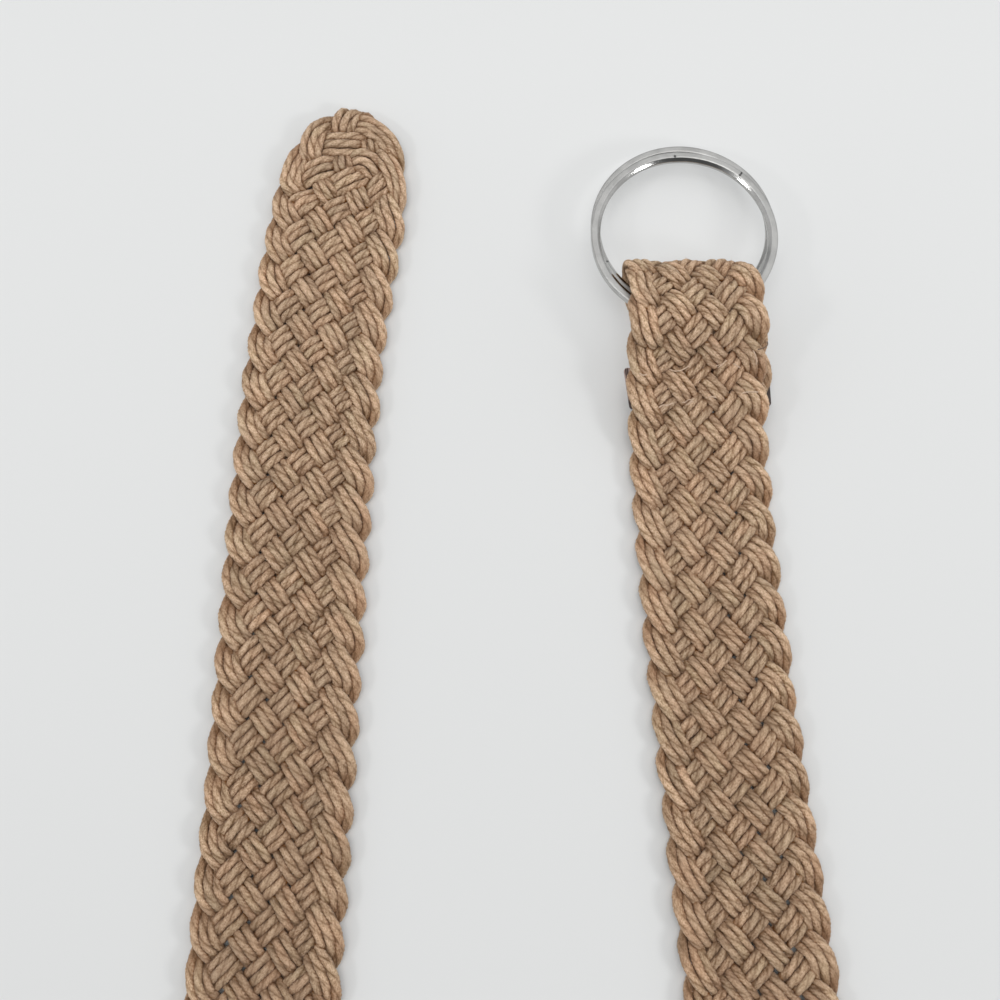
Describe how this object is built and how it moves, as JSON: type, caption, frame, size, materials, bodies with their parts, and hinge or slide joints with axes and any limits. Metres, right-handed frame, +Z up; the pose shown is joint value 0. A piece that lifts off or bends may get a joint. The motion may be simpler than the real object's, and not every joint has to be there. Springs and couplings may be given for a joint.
{
  "type": "macrame belt",
  "caption": "Flat plaited cord belt with a rounded free tip and a folded end that holds a pair of round metal rings as its buckle.",
  "frame": {"origin": "middle of the lying belt's bounding box, on the surface that it lies on", "axes": "+Z up, +Y along the two legs towards the tip and the rings, +X towards the leg with the rings"},
  "size_m": [0.2044, 0.4872, 0.0193],
  "materials": {
    "cotton_cord": "matt twisted cotton cord, tan",
    "ring_metal": "satin worn faces, polished walls",
    "patch_leather": "matt brown leather, plain"
  },
  "bodies": {
    "belt": {"strap": "cotton_cord", "label_patch": "patch_leather"},
    "upper_ring": {"ring_upper": "ring_metal"},
    "lower_ring": {"ring_lower": "ring_metal"}
  },
  "joints": [
    {"name": "upper_ring_spin", "type": "hinge", "parent": "belt", "child": "upper_ring", "pos_m": [0.05075, 0.19703, 0.00919], "axis": [0, 0.0628, 0.998], "continuous": true},
    {"name": "lower_ring_spin", "type": "hinge", "parent": "belt", "child": "lower_ring", "pos_m": [0.051, 0.20073, 0.00595], "axis": [0, 0.0628, 0.998], "continuous": true}
  ]
}
